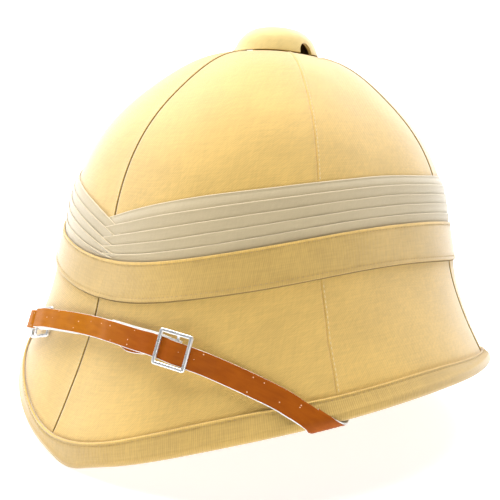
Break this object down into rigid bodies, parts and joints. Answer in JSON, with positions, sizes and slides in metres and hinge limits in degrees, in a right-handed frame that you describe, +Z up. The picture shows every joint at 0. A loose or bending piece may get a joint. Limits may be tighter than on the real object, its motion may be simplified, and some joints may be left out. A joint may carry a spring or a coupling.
{
  "type": "pith sun helmet",
  "caption": "Cloth-covered sun helmet with a deep sloping brim, a pleated scarf, a domed air button on top and a leather chin strap worn up over the front.",
  "frame": {"origin": "on the floor under the middle of the helmet's footprint, standing on its brim", "axes": "+Z up, -Y towards the wearer's front, +X towards the wearer's left"},
  "size_m": [0.2924, 0.3104, 0.2543],
  "materials": {
    "khaki_cloth": "closely woven cotton twill stretched over a moulded pith wall",
    "pugaree_cloth": "soft grey-beige cotton laid in flat pleats",
    "strap_leather": "smooth orange-brown leather with a paler suede back",
    "slide_nickel": "bright nickel plate"
  },
  "bodies": {
    "root": {"shell": "khaki_cloth", "brim_binding": "khaki_cloth", "hat_band": "khaki_cloth", "ventilator_button": "khaki_cloth", "pugaree_fold_1": "pugaree_cloth", "pugaree_fold_2": "pugaree_cloth", "pugaree_fold_3": "pugaree_cloth", "pugaree_fold_4": "pugaree_cloth", "pugaree_fold_5": "pugaree_cloth", "chin_strap_inner": "strap_leather", "chin_strap_outer": "strap_leather", "slide_left": "slide_nickel", "slide_right": "slide_nickel", "strap_keeper_left": "slide_nickel", "strap_keeper_right": "slide_nickel"}
  },
  "joints": []
}
